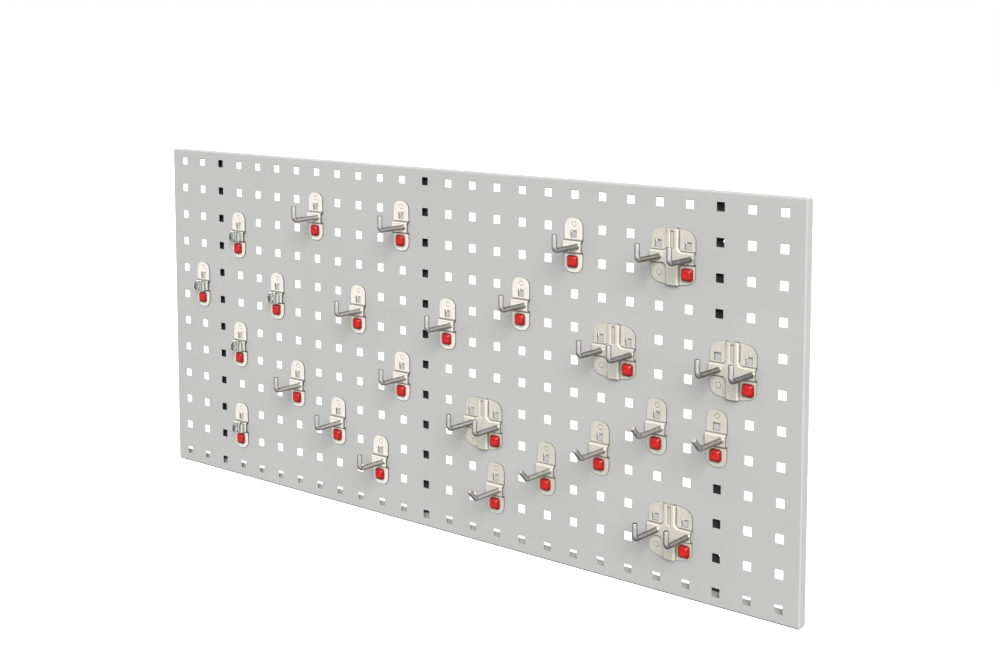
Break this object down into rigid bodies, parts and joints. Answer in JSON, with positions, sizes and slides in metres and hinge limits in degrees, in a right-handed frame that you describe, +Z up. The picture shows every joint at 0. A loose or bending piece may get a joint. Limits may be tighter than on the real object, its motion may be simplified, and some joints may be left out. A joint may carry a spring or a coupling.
{
  "type": "pegboard tool wall",
  "caption": "Wall-mounted perforated steel tool panel with square holes, zinc-plated hooks and spring clamps, each secured by a pull-out plastic locking clip.",
  "frame": {"origin": "middle of the panel's outline, on the wall plane where the rails' webs rest", "axes": "+X along the panel to the right as seen from the front, +Y into the wall, +Z up; the tools hang on the -Y side"},
  "size_m": [1, 0.0738, 0.45],
  "materials": {
    "panel_coating": "light grey powder coat, fine satin texture",
    "rail_coating": "black powder coat, matt",
    "zinc_light": "bright zinc plate, satin",
    "zinc_warm": "warm grey zinc plate, satin",
    "spring_steel": "bright spring steel strip",
    "lock_plastic": "red moulded plastic, soft gloss"
  },
  "bodies": {
    "wall_board": {"perforated_panel": "panel_coating", "wall_rail_left": "rail_coating", "wall_rail_middle": "rail_coating", "wall_rail_right": "rail_coating", "upright_hook_01": "zinc_light", "upright_hook_02": "zinc_light", "upright_hook_03": "zinc_light", "upright_hook_04": "zinc_light", "upright_hook_05": "zinc_light", "upright_hook_06": "zinc_light", "upright_hook_07": "zinc_light", "upright_hook_08": "zinc_light", "upright_hook_09": "zinc_light", "upright_hook_10": "zinc_light", "oblique_hook_01": "zinc_warm", "oblique_hook_02": "zinc_warm", "oblique_hook_03": "zinc_warm", "oblique_hook_04": "zinc_warm", "oblique_hook_05": "zinc_warm", "double_hook_01": "zinc_warm", "double_hook_02": "zinc_warm", "double_hook_03": "zinc_warm", "double_hook_04": "zinc_warm", "double_hook_05": "zinc_warm", "clamp_plate_01": "zinc_light", "clamp_plate_02": "zinc_light", "clamp_plate_03": "zinc_light", "clamp_plate_04": "zinc_light", "clamp_plate_05": "zinc_light", "spring_clamp_01": "spring_steel", "spring_clamp_02": "spring_steel", "spring_clamp_03": "spring_steel", "spring_clamp_04": "spring_steel", "spring_clamp_05": "spring_steel"},
    "upright_hook_01_lock": {"upright_hook_01_lock": "lock_plastic"},
    "upright_hook_02_lock": {"upright_hook_02_lock": "lock_plastic"},
    "upright_hook_03_lock": {"upright_hook_03_lock": "lock_plastic"},
    "upright_hook_04_lock": {"upright_hook_04_lock": "lock_plastic"},
    "upright_hook_05_lock": {"upright_hook_05_lock": "lock_plastic"},
    "upright_hook_06_lock": {"upright_hook_06_lock": "lock_plastic"},
    "upright_hook_07_lock": {"upright_hook_07_lock": "lock_plastic"},
    "upright_hook_08_lock": {"upright_hook_08_lock": "lock_plastic"},
    "upright_hook_09_lock": {"upright_hook_09_lock": "lock_plastic"},
    "upright_hook_10_lock": {"upright_hook_10_lock": "lock_plastic"},
    "oblique_hook_01_lock": {"oblique_hook_01_lock": "lock_plastic"},
    "oblique_hook_02_lock": {"oblique_hook_02_lock": "lock_plastic"},
    "oblique_hook_03_lock": {"oblique_hook_03_lock": "lock_plastic"},
    "oblique_hook_04_lock": {"oblique_hook_04_lock": "lock_plastic"},
    "oblique_hook_05_lock": {"oblique_hook_05_lock": "lock_plastic"},
    "double_hook_01_lock": {"double_hook_01_lock": "lock_plastic"},
    "double_hook_02_lock": {"double_hook_02_lock": "lock_plastic"},
    "double_hook_03_lock": {"double_hook_03_lock": "lock_plastic"},
    "double_hook_04_lock": {"double_hook_04_lock": "lock_plastic"},
    "double_hook_05_lock": {"double_hook_05_lock": "lock_plastic"},
    "clamp_plate_01_lock": {"clamp_plate_01_lock": "lock_plastic"},
    "clamp_plate_02_lock": {"clamp_plate_02_lock": "lock_plastic"},
    "clamp_plate_03_lock": {"clamp_plate_03_lock": "lock_plastic"},
    "clamp_plate_04_lock": {"clamp_plate_04_lock": "lock_plastic"},
    "clamp_plate_05_lock": {"clamp_plate_05_lock": "lock_plastic"}
  },
  "joints": [
    {"name": "upright_hook_01_lock_slide", "type": "slide", "parent": "wall_board", "child": "upright_hook_01_lock", "axis": [0, -1, 0], "range_m": [0, 0.009]},
    {"name": "upright_hook_02_lock_slide", "type": "slide", "parent": "wall_board", "child": "upright_hook_02_lock", "axis": [0, -1, 0], "range_m": [0, 0.009]},
    {"name": "upright_hook_03_lock_slide", "type": "slide", "parent": "wall_board", "child": "upright_hook_03_lock", "axis": [0, -1, 0], "range_m": [0, 0.009]},
    {"name": "upright_hook_04_lock_slide", "type": "slide", "parent": "wall_board", "child": "upright_hook_04_lock", "axis": [0, -1, 0], "range_m": [0, 0.009]},
    {"name": "upright_hook_05_lock_slide", "type": "slide", "parent": "wall_board", "child": "upright_hook_05_lock", "axis": [0, -1, 0], "range_m": [0, 0.009]},
    {"name": "upright_hook_06_lock_slide", "type": "slide", "parent": "wall_board", "child": "upright_hook_06_lock", "axis": [0, -1, 0], "range_m": [0, 0.009]},
    {"name": "upright_hook_07_lock_slide", "type": "slide", "parent": "wall_board", "child": "upright_hook_07_lock", "axis": [0, -1, 0], "range_m": [0, 0.009]},
    {"name": "upright_hook_08_lock_slide", "type": "slide", "parent": "wall_board", "child": "upright_hook_08_lock", "axis": [0, -1, 0], "range_m": [0, 0.009]},
    {"name": "upright_hook_09_lock_slide", "type": "slide", "parent": "wall_board", "child": "upright_hook_09_lock", "axis": [0, -1, 0], "range_m": [0, 0.009]},
    {"name": "upright_hook_10_lock_slide", "type": "slide", "parent": "wall_board", "child": "upright_hook_10_lock", "axis": [0, -1, 0], "range_m": [0, 0.009]},
    {"name": "oblique_hook_01_lock_slide", "type": "slide", "parent": "wall_board", "child": "oblique_hook_01_lock", "axis": [0, -1, 0], "range_m": [0, 0.009]},
    {"name": "oblique_hook_02_lock_slide", "type": "slide", "parent": "wall_board", "child": "oblique_hook_02_lock", "axis": [0, -1, 0], "range_m": [0, 0.009]},
    {"name": "oblique_hook_03_lock_slide", "type": "slide", "parent": "wall_board", "child": "oblique_hook_03_lock", "axis": [0, -1, 0], "range_m": [0, 0.009]},
    {"name": "oblique_hook_04_lock_slide", "type": "slide", "parent": "wall_board", "child": "oblique_hook_04_lock", "axis": [0, -1, 0], "range_m": [0, 0.009]},
    {"name": "oblique_hook_05_lock_slide", "type": "slide", "parent": "wall_board", "child": "oblique_hook_05_lock", "axis": [0, -1, 0], "range_m": [0, 0.009]},
    {"name": "double_hook_01_lock_slide", "type": "slide", "parent": "wall_board", "child": "double_hook_01_lock", "axis": [0, -1, 0], "range_m": [0, 0.009]},
    {"name": "double_hook_02_lock_slide", "type": "slide", "parent": "wall_board", "child": "double_hook_02_lock", "axis": [0, -1, 0], "range_m": [0, 0.009]},
    {"name": "double_hook_03_lock_slide", "type": "slide", "parent": "wall_board", "child": "double_hook_03_lock", "axis": [0, -1, 0], "range_m": [0, 0.009]},
    {"name": "double_hook_04_lock_slide", "type": "slide", "parent": "wall_board", "child": "double_hook_04_lock", "axis": [0, -1, 0], "range_m": [0, 0.009]},
    {"name": "double_hook_05_lock_slide", "type": "slide", "parent": "wall_board", "child": "double_hook_05_lock", "axis": [0, -1, 0], "range_m": [0, 0.009]},
    {"name": "clamp_plate_01_lock_slide", "type": "slide", "parent": "wall_board", "child": "clamp_plate_01_lock", "axis": [0, -1, 0], "range_m": [0, 0.009]},
    {"name": "clamp_plate_02_lock_slide", "type": "slide", "parent": "wall_board", "child": "clamp_plate_02_lock", "axis": [0, -1, 0], "range_m": [0, 0.009]},
    {"name": "clamp_plate_03_lock_slide", "type": "slide", "parent": "wall_board", "child": "clamp_plate_03_lock", "axis": [0, -1, 0], "range_m": [0, 0.009]},
    {"name": "clamp_plate_04_lock_slide", "type": "slide", "parent": "wall_board", "child": "clamp_plate_04_lock", "axis": [0, -1, 0], "range_m": [0, 0.009]},
    {"name": "clamp_plate_05_lock_slide", "type": "slide", "parent": "wall_board", "child": "clamp_plate_05_lock", "axis": [0, -1, 0], "range_m": [0, 0.009]}
  ]
}
